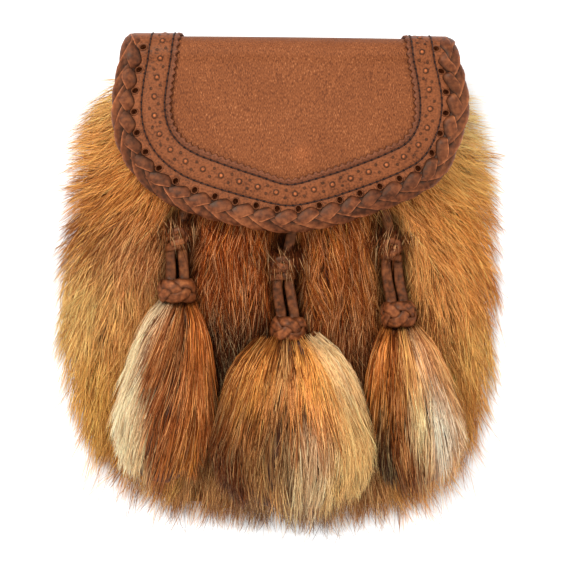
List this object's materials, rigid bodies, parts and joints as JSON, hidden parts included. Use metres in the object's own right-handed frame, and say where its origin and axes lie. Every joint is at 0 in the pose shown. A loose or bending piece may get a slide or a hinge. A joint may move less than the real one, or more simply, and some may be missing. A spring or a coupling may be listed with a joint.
{
  "type": "sporran pouch",
  "caption": "Highland sporran: leather pouch with a long-haired fur front, a laced leather flap and fur tassels hung on knotted thongs, lying on its back.",
  "frame": {"origin": "middle of the outline, seen from the front, on the plane that the back rests on", "axes": "+X to the right seen from the front, +Y towards the top edge, +Z out of the front"},
  "size_m": [0.202, 0.2256, 0.0458],
  "materials": {
    "leather": "matt grained leather",
    "border": "smooth tooled leather",
    "lace": "plaited leather lacing, satin",
    "thong": "plaited leather thong, satin",
    "fur": "long fox-like hair",
    "tassel": "long fox-like hair, cream and russet",
    "stud": "satin"
  },
  "bodies": {
    "root": {"back_and_flap": "leather", "belt_loop": "leather", "flap_border": "border", "flap_lace": "lace", "flap_stud": "stud", "fur_pouch": "fur", "tassel_left": "tassel", "knot_left": "thong", "hitch_left": "thong", "tassel_centre": "tassel", "knot_centre": "thong", "hitch_centre": "thong", "tassel_right": "tassel", "knot_right": "thong", "hitch_right": "thong", "thong_left_top": "thong", "thong_left_a": "thong", "thong_left_b": "thong", "thong_centre_top": "thong", "thong_centre_a": "thong", "thong_centre_b": "thong", "thong_right_top": "thong", "thong_right_a": "thong", "thong_right_b": "thong"}
  },
  "joints": []
}
